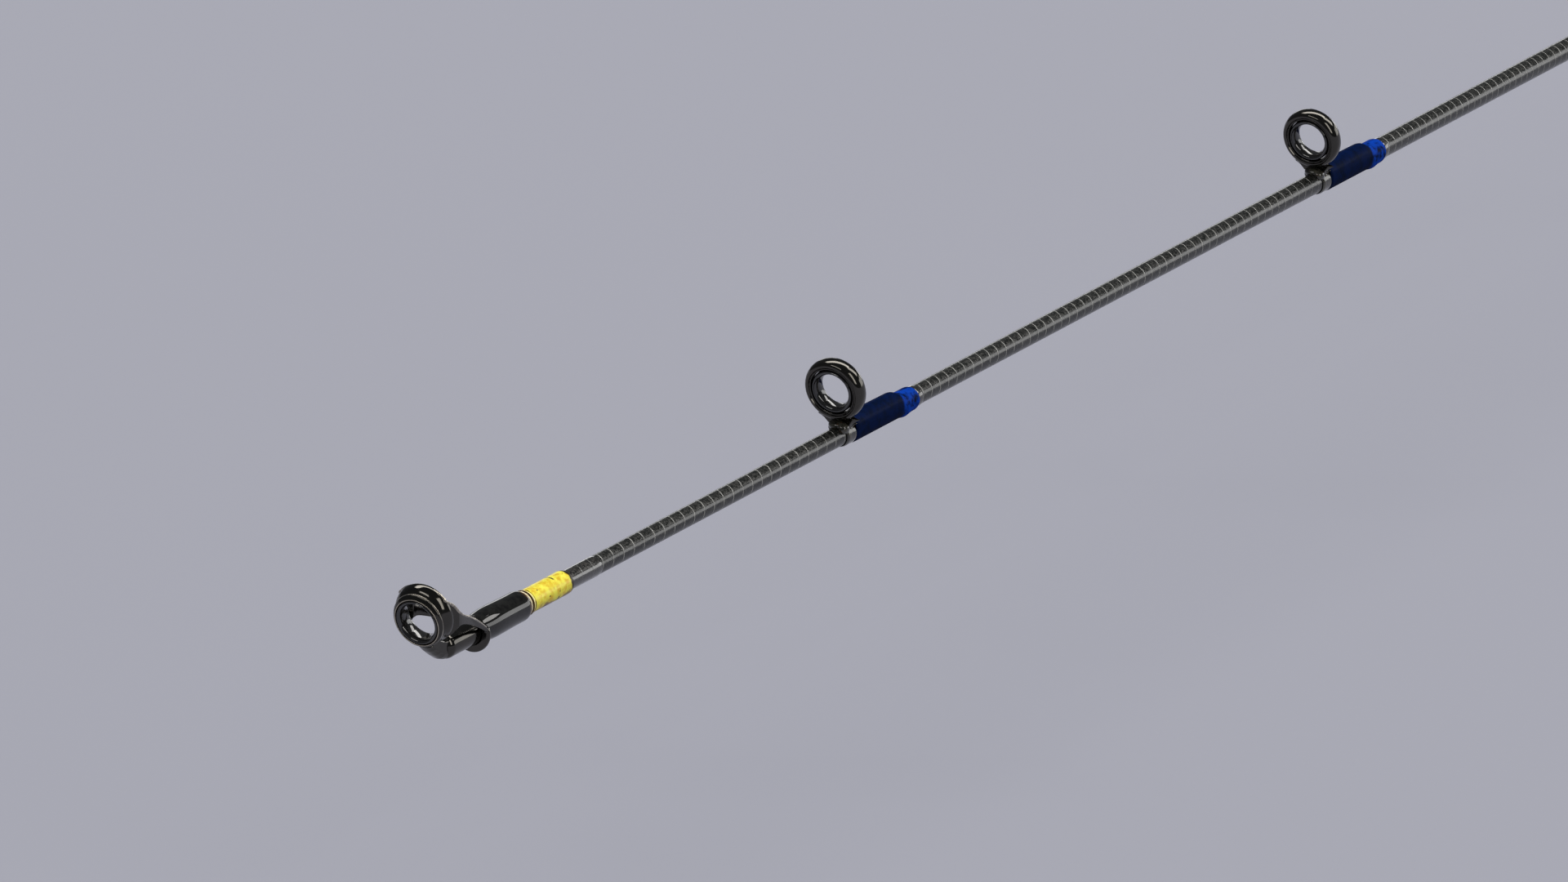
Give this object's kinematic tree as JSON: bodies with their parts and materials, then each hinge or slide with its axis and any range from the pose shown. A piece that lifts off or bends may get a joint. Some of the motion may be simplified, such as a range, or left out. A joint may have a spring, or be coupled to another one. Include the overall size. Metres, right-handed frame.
{
  "type": "casting rod",
  "caption": "Two-piece trigger-grip casting rod: tapered carbon blank, ringed guides under thread wraps, a leaning tip-top and a threaded reel seat with a sliding hood.",
  "frame": {"origin": "centre of the flat butt face", "axes": "+X along the rod from butt to tip, +Z towards the side of the guides and the reel deck"},
  "size_m": [1.9795, 0.0292, 0.0508],
  "materials": {
    "carbon": "clear-coated carbon fibre, unsanded",
    "guide_black": "gloss black plated steel",
    "ceramic": "polished black ceramic",
    "blue_thread": "royal blue thread under clear epoxy",
    "gold_thread": "metallic gold thread under clear epoxy",
    "black_thread": "black thread under clear epoxy",
    "grip_foam": "dense matt foam",
    "seat_plastic": "satin moulded nylon",
    "blue_metal": "blue anodised",
    "rubber": "moulded rubber",
    "arbor": "fibre bushing"
  },
  "bodies": {
    "butt_section": {"butt_blank": "carbon", "ferrule_spigot": "carbon", "butt_ferrule_wrap": "blue_thread", "butt_cap": "rubber", "rear_grip": "grip_foam", "rear_grip_ring": "blue_metal", "handle_grip": "grip_foam", "handle_grip_ring": "blue_metal", "reel_seat": "seat_plastic", "seat_arbor_1": "arbor", "seat_arbor_2": "arbor", "seat_arbor_3": "arbor", "fore_grip": "grip_foam", "winding_check": "blue_metal", "hook_keeper": "guide_black", "keeper_rear_wrap": "blue_thread", "keeper_front_wrap": "blue_thread", "guide_8_frame": "guide_black", "guide_8_ring": "ceramic", "guide_8_front_wrap": "blue_thread", "guide_8_rear_wrap": "blue_thread"},
    "tip_section": {"tip_blank": "carbon", "tip_ferrule_wrap": "blue_thread", "tip_top_tube": "guide_black", "tip_top_frame": "guide_black", "tip_top_ring": "ceramic", "tip_top_wrap": "black_thread", "tip_trim_wrap": "gold_thread", "guide_1_frame": "guide_black", "guide_1_ring": "ceramic", "guide_1_wrap": "blue_thread", "guide_2_frame": "guide_black", "guide_2_ring": "ceramic", "guide_2_wrap": "blue_thread", "guide_3_frame": "guide_black", "guide_3_ring": "ceramic", "guide_3_wrap": "blue_thread", "guide_4_frame": "guide_black", "guide_4_ring": "ceramic", "guide_4_wrap": "blue_thread", "guide_5_frame": "guide_black", "guide_5_ring": "ceramic", "guide_5_wrap": "blue_thread", "guide_6_frame": "guide_black", "guide_6_ring": "ceramic", "guide_6_wrap": "blue_thread", "guide_7_frame": "guide_black", "guide_7_ring": "ceramic", "guide_7_wrap": "blue_thread"},
    "moving_hood": {"moving_hood": "seat_plastic"},
    "locking_nut": {"locking_nut": "blue_metal"}
  },
  "joints": [
    {"name": "nut_spin", "type": "hinge", "parent": "moving_hood", "child": "locking_nut", "pos_m": [0.3473, 0, 0], "axis": [1, 0, 0], "range_deg": [-864, 1728]},
    {"name": "hood_slide", "type": "slide", "parent": "butt_section", "child": "moving_hood", "axis": [1, 0, 0], "range_m": [-0.006, 0.012]},
    {"name": "tip_section_slide", "type": "slide", "parent": "butt_section", "child": "tip_section", "axis": [1, 0, 0], "range_m": [0, 0.06]}
  ],
  "couplings": [
    {"joint": "hood_slide", "follows": "nut_spin", "m_per_rad": 0.00039789}
  ]
}
